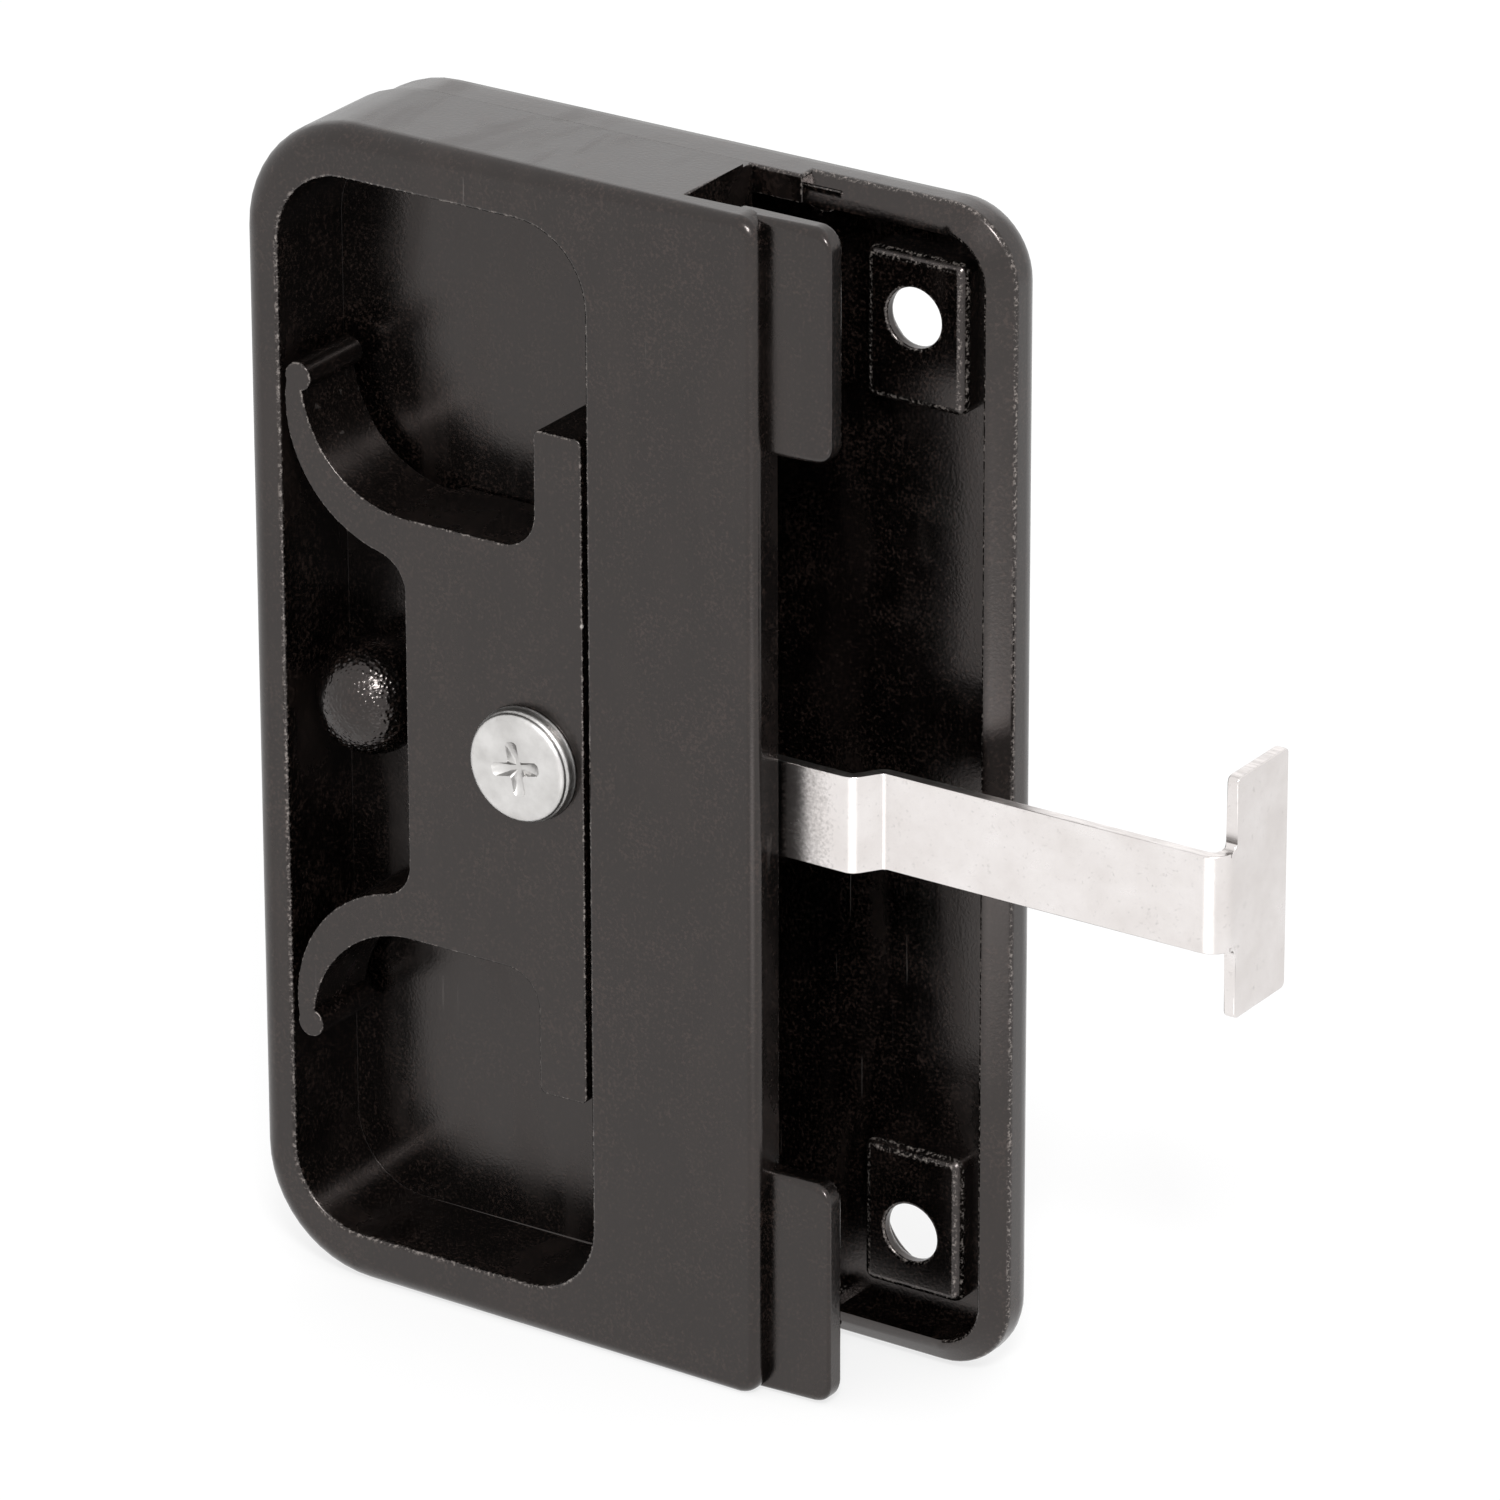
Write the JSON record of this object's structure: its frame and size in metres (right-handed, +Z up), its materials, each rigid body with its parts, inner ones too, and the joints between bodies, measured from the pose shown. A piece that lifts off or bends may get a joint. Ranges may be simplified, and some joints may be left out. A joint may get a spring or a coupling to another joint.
{
  "type": "screen door latch",
  "caption": "Black moulded latch for a sliding screen door: an upright slide with curved spring arms carries a T-headed steel hook.",
  "frame": {"origin": "midway between the two fixing holes, on the face of the fixing pads that rests on the door", "axes": "+X from the housing towards the T head of the hook, +Z up along the slide's travel, +Y out to the user's side"},
  "size_m": [0.085, 0.0263, 0.0974],
  "materials": {
    "black_plastic": "matt moulded, warm black",
    "slide_plastic": "matt moulded, warm black",
    "steel_strip": "bright rolled strip",
    "zinc_screw": "bright zinc plate"
  },
  "bodies": {
    "latch_body": {"face_plate": "black_plastic", "housing": "black_plastic"},
    "carriage": {"slide": "slide_plastic", "hook": "steel_strip", "clamp_screw": "zinc_screw", "thumb_button": "black_plastic"}
  },
  "joints": [
    {"name": "latch_slide", "type": "slide", "parent": "latch_body", "child": "carriage", "axis": [0, 0, 1], "range_m": [-0.008, 0.008]}
  ]
}
